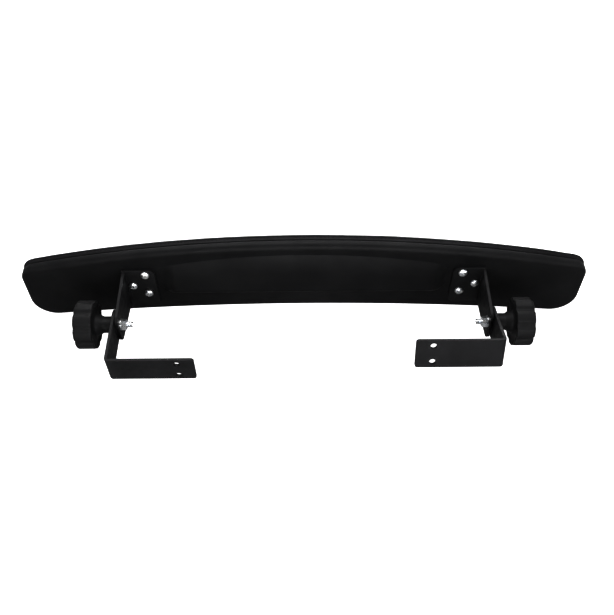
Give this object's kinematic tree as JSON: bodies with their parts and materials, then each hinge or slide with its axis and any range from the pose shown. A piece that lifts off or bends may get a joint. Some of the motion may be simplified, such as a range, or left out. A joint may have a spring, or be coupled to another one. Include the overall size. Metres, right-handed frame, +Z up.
{
  "type": "chair headrest attachment",
  "caption": "Wide arched headrest pad with a moulded back shell, on steel brackets whose foot arms tilt on a cross bolt and lock with lobed hand knobs.",
  "frame": {"origin": "under the middle of the whole object's box, at the height of its lowest point, which is the lower corners of the upright pad", "axes": "+X along the pad's width, towards the bracket stored tilted; +Y out of the cushion's face, towards the sitter's head; +Z up, towards the pad's arched edge"},
  "size_m": [0.6, 0.134, 0.1091],
  "materials": {
    "shell_plastic": "satin",
    "cover_leather": "satin",
    "foam": "matte",
    "board_wood": "matte",
    "bracket_paint": "satin",
    "zinc_steel": "satin",
    "washer_plastic": "matte",
    "knob_plastic": "satin"
  },
  "bodies": {
    "pad": {"back_shell": "shell_plastic", "backing_board": "board_wood", "foam_pad": "foam", "front_cover": "cover_leather", "left_pad_bracket": "bracket_paint", "left_plate_screws": "zinc_steel", "left_tee_nuts": "zinc_steel", "left_pivot_nut": "zinc_steel", "left_nut_washer": "zinc_steel", "right_pad_bracket": "bracket_paint", "right_plate_screws": "zinc_steel", "right_tee_nuts": "zinc_steel", "right_pivot_nut": "zinc_steel", "right_nut_washer": "zinc_steel"},
    "left_arm": {"left_foot_bracket": "bracket_paint", "left_friction_washer": "washer_plastic"},
    "left_clamp": {"left_clamp_washer": "bracket_paint"},
    "left_hand_knob": {"left_knob": "knob_plastic", "left_knob_stud": "zinc_steel", "left_knob_cap": "knob_plastic"},
    "right_arm": {"right_foot_bracket": "bracket_paint", "right_friction_washer": "washer_plastic"},
    "right_clamp": {"right_clamp_washer": "bracket_paint"},
    "right_hand_knob": {"right_knob": "knob_plastic", "right_knob_stud": "zinc_steel", "right_knob_cap": "knob_plastic"}
  },
  "joints": [
    {"name": "left_arm_tilt", "type": "hinge", "parent": "pad", "child": "left_arm", "pos_m": [-0.193, -0.00899, 0.05414], "axis": [-1, 0, 0], "range_deg": [-115, 115]},
    {"name": "left_clamp_travel", "type": "slide", "parent": "pad", "child": "left_clamp", "axis": [-1, 0, 0], "range_m": [0, 0.007]},
    {"name": "left_knob_turn", "type": "hinge", "parent": "left_clamp", "child": "left_hand_knob", "pos_m": [-0.2126, -0.00899, 0.05414], "axis": [1, 0, 0], "range_deg": [0, 2521]},
    {"name": "right_arm_tilt", "type": "hinge", "parent": "pad", "child": "right_arm", "pos_m": [0.193, -0.00899, 0.05414], "axis": [-1, 0, 0], "range_deg": [-134.5, 95.5]},
    {"name": "right_clamp_travel", "type": "slide", "parent": "pad", "child": "right_clamp", "axis": [1, 0, 0], "range_m": [0, 0.007]},
    {"name": "right_knob_turn", "type": "hinge", "parent": "right_clamp", "child": "right_hand_knob", "pos_m": [0.2126, -0.00899, 0.05414], "axis": [-1, 0, 0], "range_deg": [0, 2521]}
  ],
  "couplings": [
    {"joint": "left_knob_turn", "follows": "left_clamp_travel", "rad_per_m": 6283.2},
    {"joint": "right_knob_turn", "follows": "right_clamp_travel", "rad_per_m": 6283.2}
  ]
}
